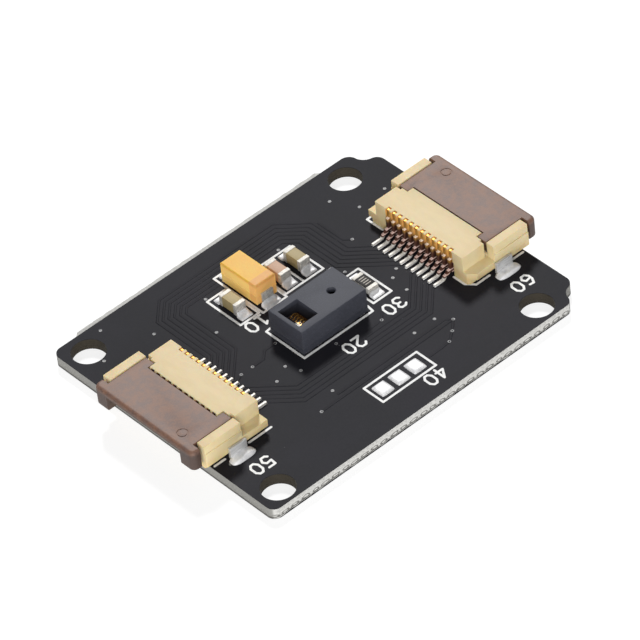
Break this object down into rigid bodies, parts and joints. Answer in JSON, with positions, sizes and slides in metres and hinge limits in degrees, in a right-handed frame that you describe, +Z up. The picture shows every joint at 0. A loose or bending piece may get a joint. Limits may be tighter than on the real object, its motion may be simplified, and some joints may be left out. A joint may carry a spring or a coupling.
{
  "type": "optical distance sensor module",
  "caption": "Small black circuit board with an optical distance sensor package, chip parts and two slide-lock flat cable connectors, held by corner screws.",
  "frame": {"origin": "centre of the four mounting holes on the board's underside", "axes": "+X along the board towards the right connector's cable mouth, +Y towards the long edge with the snapped strip, +Z up from the component side"},
  "size_m": [0.0279, 0.0203, 0.0028],
  "materials": {
    "laminate": "pale woven glass epoxy, rough sawn edges",
    "mask": "black solder mask, satin",
    "ink": "white printed ink",
    "solder": "bright tinned solder",
    "ivory": "ivory moulded housing plastic",
    "brown": "mauve-brown moulded slider plastic",
    "contact_metal": "plated spring contacts",
    "steel": "tin-plated sheet metal",
    "slate": "slate-grey moulded cap",
    "substrate": "dark package substrate",
    "silicon": "polished die",
    "gold": "gold wire and lands",
    "ceramic_tan": "olive-tan fired ceramic",
    "ceramic_pink": "pinkish-tan fired ceramic",
    "alumina": "white alumina",
    "overcoat": "dark glass overcoat",
    "end_metal": "tinned end cap",
    "amber": "amber moulded epoxy with a deeper polarity band",
    "tantalum": "sintered pellet and wire"
  },
  "bodies": {
    "board": {"board_laminate": "laminate", "ceramic_capacitor_1_body": "ceramic_tan", "ceramic_capacitor_1_ends": "end_metal", "ceramic_capacitor_1_solder": "solder", "ceramic_capacitor_2_body": "ceramic_pink", "ceramic_capacitor_2_ends": "end_metal", "ceramic_capacitor_2_solder": "solder", "ceramic_capacitor_3_body": "ceramic_tan", "ceramic_capacitor_3_ends": "end_metal", "ceramic_capacitor_3_solder": "solder", "jumper_pads": "solder", "left_connector_contact_solder": "solder", "left_connector_contacts": "contact_metal", "left_connector_hold_down_solder": "solder", "left_connector_hold_downs": "steel", "left_connector_housing": "ivory", "legend_print": "ink", "resistor_base": "alumina", "resistor_ends": "end_metal", "resistor_overcoat": "overcoat", "resistor_solder": "solder", "right_connector_contact_solder": "solder", "right_connector_contacts": "contact_metal", "right_connector_hold_down_solder": "solder", "right_connector_hold_downs": "steel", "right_connector_housing": "ivory", "sensor_bond_wires": "gold", "sensor_cap": "slate", "sensor_emitter_die": "silicon", "sensor_gold_lands": "gold", "sensor_receiver_die": "silicon", "sensor_solder_lands": "solder", "sensor_substrate": "substrate", "solder_mask_bottom": "mask", "solder_mask_top": "mask", "tantalum_anode_terminal": "end_metal", "tantalum_anode_wire": "tantalum", "tantalum_body": "amber", "tantalum_cathode_terminal": "end_metal", "tantalum_pellet": "tantalum", "tantalum_solder": "solder", "via_pads": "solder"},
    "right_slider": {"right_connector_slider": "brown"},
    "left_slider": {"left_connector_slider": "brown"}
  },
  "joints": [
    {"name": "right_slider_slide", "type": "slide", "parent": "board", "child": "right_slider", "axis": [1, 0, 0], "range_m": [0, 0.0009]},
    {"name": "left_slider_slide", "type": "slide", "parent": "board", "child": "left_slider", "axis": [-1, 0, 0], "range_m": [0, 0.0009]}
  ]
}
